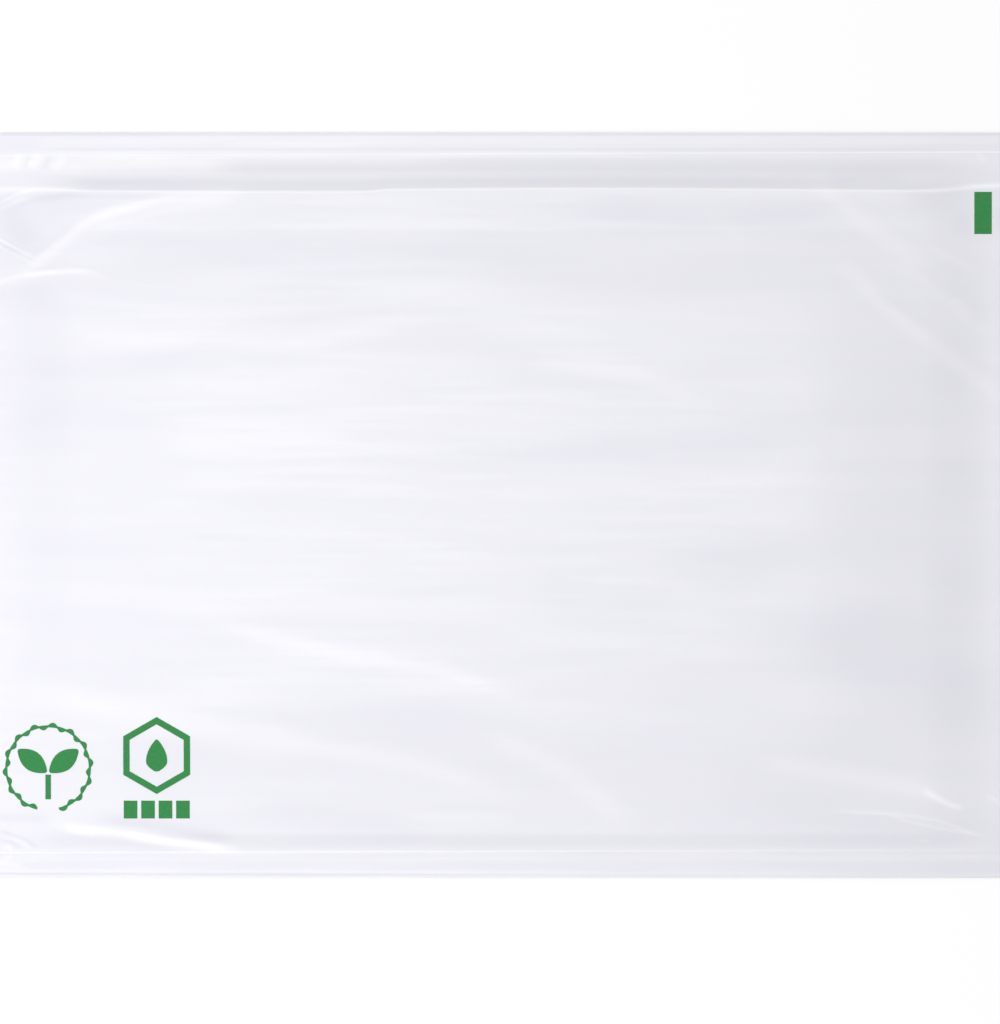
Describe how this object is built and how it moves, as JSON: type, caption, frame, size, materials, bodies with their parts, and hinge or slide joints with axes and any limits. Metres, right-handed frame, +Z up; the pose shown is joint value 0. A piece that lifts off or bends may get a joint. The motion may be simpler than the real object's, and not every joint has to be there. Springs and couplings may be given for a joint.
{
  "type": "packing list envelope",
  "caption": "Flat document pouch of clear film over a milky self-adhesive back film and a paper release liner, with a slit opening in the back and small green printed marks.",
  "frame": {"origin": "on the surface that the envelope lies on, under the middle of its 235 x 175 mm outline", "axes": "+X along the long side, +Y towards the long edge that has the document slit, +Z up out of the printed front"},
  "size_m": [0.235, 0.175, 0.0019],
  "materials": {
    "release_paper": "smooth white paper with a silicone coat on the side towards the adhesive",
    "hot_melt_adhesive": "thin clear tacky coat",
    "milky_film": "milky low-density polythene film with a soft sheen",
    "clear_film": "clear low-density polythene film with a slight haze and soft gloss",
    "green_ink": "flat green print"
  },
  "bodies": {
    "root": {"release_liner": "release_paper", "adhesive_coat": "hot_melt_adhesive", "back_film": "milky_film", "front_film": "clear_film", "eye_mark": "green_ink", "wreath": "green_ink", "sprout_leaf_left": "green_ink", "sprout_leaf_right": "green_ink", "sprout_stem": "green_ink", "frame": "green_ink", "drop": "green_ink", "bar_1": "green_ink", "bar_2": "green_ink", "bar_3": "green_ink", "bar_4": "green_ink"}
  },
  "joints": []
}
